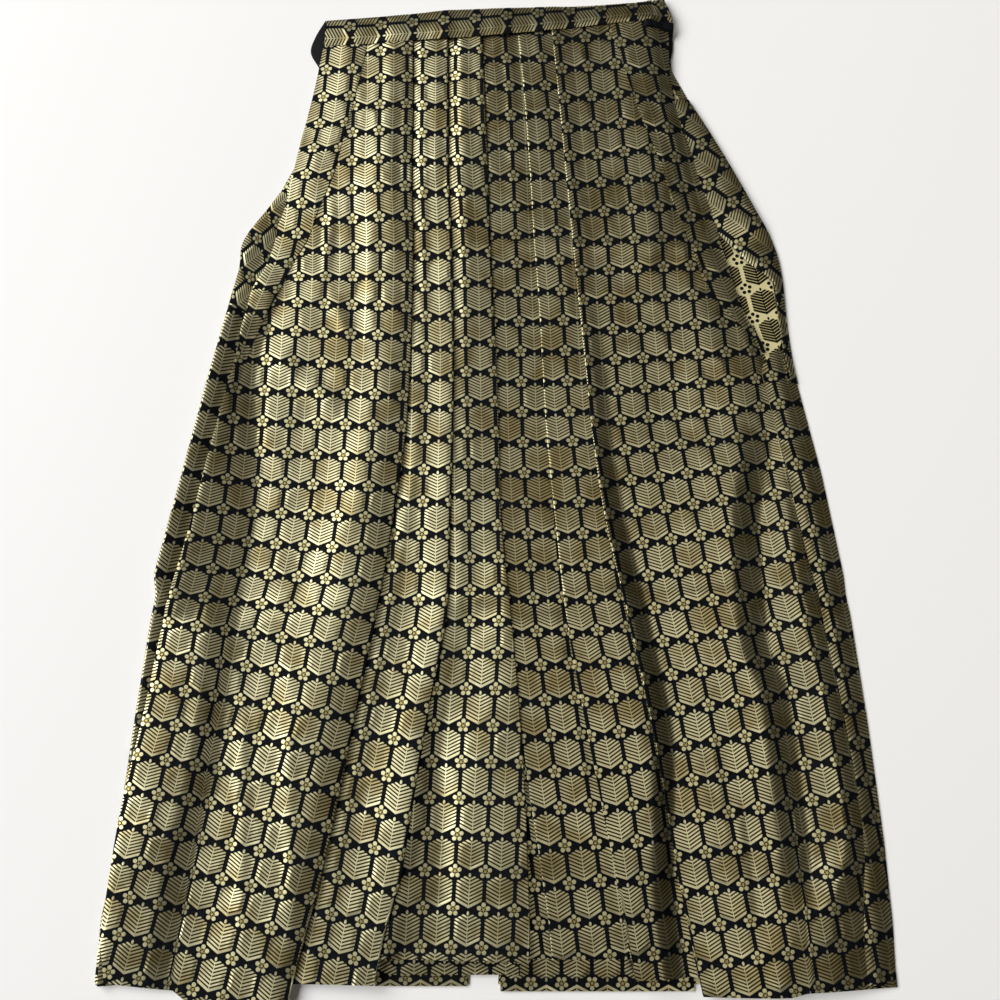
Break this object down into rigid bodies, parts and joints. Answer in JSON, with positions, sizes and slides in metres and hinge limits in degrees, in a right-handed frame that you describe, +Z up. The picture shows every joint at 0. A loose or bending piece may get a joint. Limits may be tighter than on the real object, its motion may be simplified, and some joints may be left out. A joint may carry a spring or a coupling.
{
  "type": "hakama trousers",
  "caption": "Divided, pleated hakama trousers in gold and navy brocade, laid flat with the front up and the ties folded away behind.",
  "frame": {"origin": "centre of the bounding box, on the surface that the garment lies on", "axes": "+Y along the garment from the hem to the waist, +X to the right as seen with the front up, +Z up out of the surface"},
  "size_m": [0.65, 0.8999, 0.014],
  "materials": {
    "brocade": "Gold-thread chevron hexagons and small five-petalled blossoms on near-black navy satin, right side out.",
    "brocade_wrong_side": "The same brocade: right side down on the surface, and its wrong side, navy figures on a pale gold ground, towards the front.",
    "brocade_band": "The same brocade cut crosswise for the bands and ties, so that the chevrons lie on their sides."
  },
  "bodies": {
    "root": {"front_left": "brocade", "front_right": "brocade", "back_left": "brocade_wrong_side", "back_right": "brocade_wrong_side", "side_pleat_left": "brocade", "side_pleat_right": "brocade", "side_flap_left": "brocade", "side_flap_right": "brocade", "gusset_left": "brocade", "gusset_right": "brocade", "hem_turn_left": "brocade", "hem_turn_right": "brocade", "front_band": "brocade_band", "front_tie_left": "brocade_band", "front_tie_right": "brocade_band", "back_band": "brocade_band", "back_tie_left": "brocade_band", "back_tie_right": "brocade_band"}
  },
  "joints": []
}
